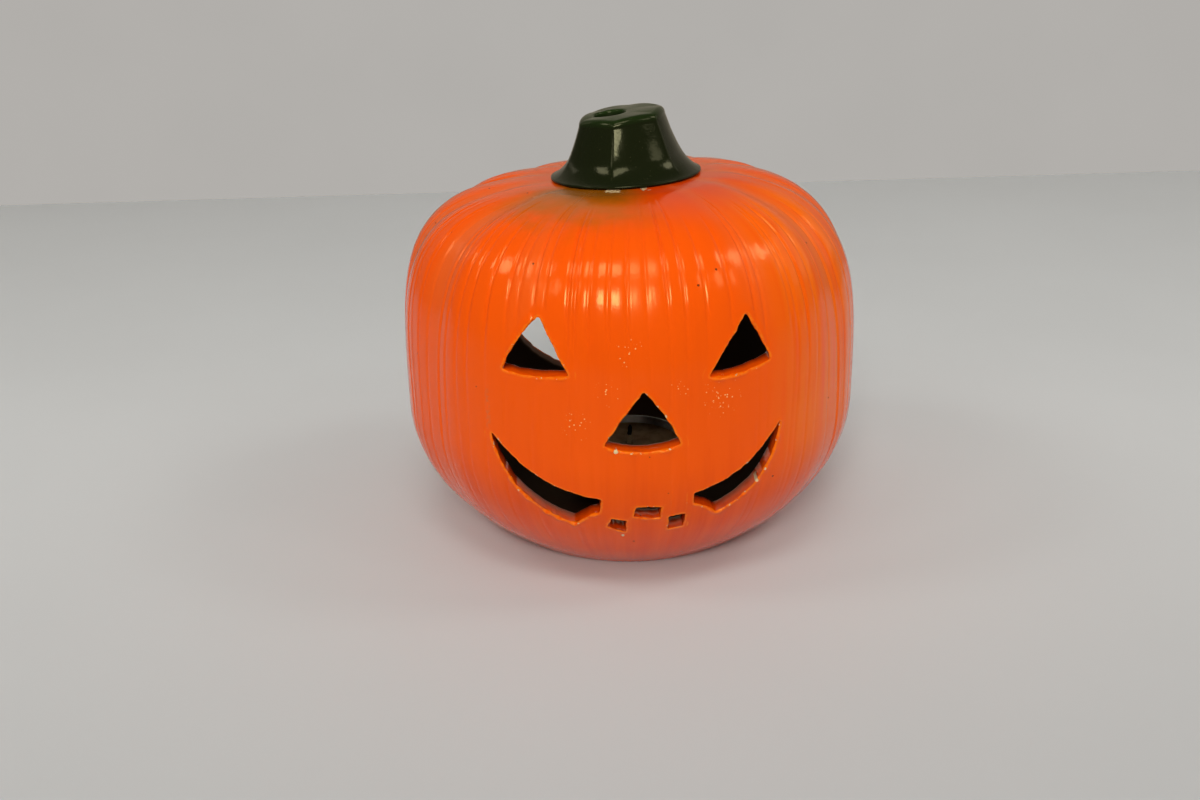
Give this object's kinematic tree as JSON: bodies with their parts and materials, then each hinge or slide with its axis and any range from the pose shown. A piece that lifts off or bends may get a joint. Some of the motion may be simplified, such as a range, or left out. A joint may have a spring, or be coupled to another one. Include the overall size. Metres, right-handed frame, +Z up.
{
  "type": "jack-o-lantern candle holder",
  "caption": "Ceramic pumpkin with a cut-out face, an open back and a hollow vented stem, holding a tealight whose light shines out through the face.",
  "frame": {"origin": "bottom centre of the overall box, on the surface that the foot ring stands on, 2.5 mm in front of the pumpkin's own axis", "axes": "+Z up through the stem, the face looks towards -Y, the open back towards +Y, +X to the right as seen from the front"},
  "size_m": [0.1518, 0.1468, 0.1398],
  "materials": {
    "orange_glaze": "glossy orange paint over slip-cast earthenware",
    "green_glaze": "glossy, very dark green",
    "tealight_aluminium": "thin bright drawn foil",
    "paraffin_wax": "satin, slightly translucent white",
    "wick_cotton": "waxed braided cotton",
    "tinned_steel": "satin"
  },
  "bodies": {
    "holder": {"pumpkin_shell": "orange_glaze", "stem": "green_glaze"},
    "tealight": {"tealight_cup": "tealight_aluminium", "tealight_wax": "paraffin_wax", "wick": "wick_cotton", "wick_tab": "tinned_steel"}
  },
  "joints": [
    {"name": "tealight_lift", "type": "slide", "parent": "holder", "child": "tealight", "axis": [0, 0.8988, 0.4384], "range_m": [0, 0.115]}
  ]
}
